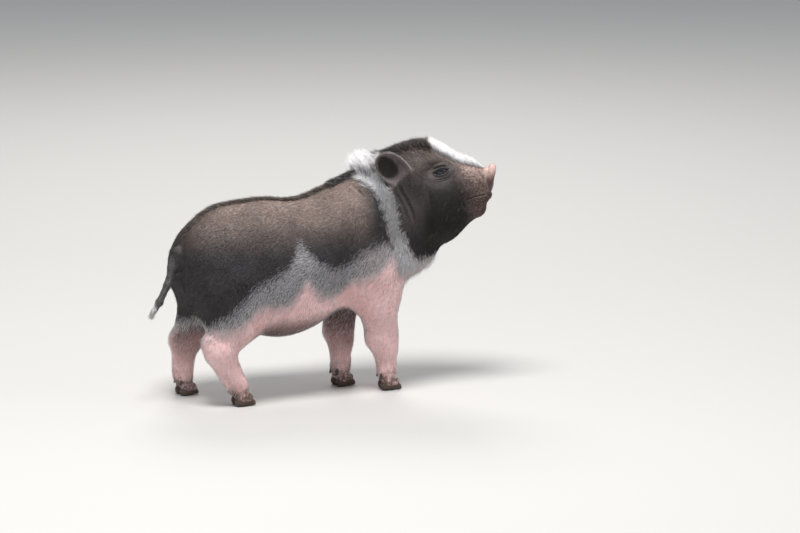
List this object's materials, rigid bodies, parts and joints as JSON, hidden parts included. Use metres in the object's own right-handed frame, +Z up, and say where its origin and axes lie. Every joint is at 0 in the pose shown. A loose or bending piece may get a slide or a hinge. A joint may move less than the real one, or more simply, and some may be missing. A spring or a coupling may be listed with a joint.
{
  "type": "pot bellied piglet, standing",
  "caption": "Young pot bellied pig standing with its head lifted and turned to its right; dark saddle, white collar mane, pink belly and legs.",
  "frame": {"origin": "middle of the bounding box, on the ground under the hooves", "axes": "+X from tail to snout, +Y to the animal's left, +Z up"},
  "size_m": [0.3768, 0.1216, 0.2644],
  "materials": {
    "dark_coat": "matte, dark grey-brown skin under short black bristles",
    "pink_skin": "matte, pink skin with sparse pale hair",
    "ear_skin": "matte, dark skin with fine hair",
    "snout_skin": "moist satin, brown and pink speckled",
    "eye": "wet gloss, dark brown iris",
    "horn": "matte horn, dusty"
  },
  "bodies": {
    "root": {"dewclaw_fore_left_left": "horn", "dewclaw_fore_left_right": "horn", "dewclaw_fore_right_left": "horn", "dewclaw_fore_right_right": "horn", "dewclaw_hind_left_left": "horn", "dewclaw_hind_left_right": "horn", "dewclaw_hind_right_left": "horn", "dewclaw_hind_right_right": "horn", "ear_left": "ear_skin", "ear_right": "ear_skin", "eye_left": "eye", "eye_right": "eye", "fore_left_lower": "pink_skin", "fore_left_upper": "pink_skin", "fore_right_lower": "pink_skin", "fore_right_upper": "pink_skin", "head": "dark_coat", "hind_left_lower": "pink_skin", "hind_left_upper": "dark_coat", "hind_right_lower": "pink_skin", "hind_right_upper": "dark_coat", "hoof_fore_left_left": "horn", "hoof_fore_left_right": "horn", "hoof_fore_right_left": "horn", "hoof_fore_right_right": "horn", "hoof_hind_left_left": "horn", "hoof_hind_left_right": "horn", "hoof_hind_right_left": "horn", "hoof_hind_right_right": "horn", "jaw": "dark_coat", "neck": "dark_coat", "snout": "snout_skin", "tail": "dark_coat", "trunk": "dark_coat"}
  },
  "joints": []
}
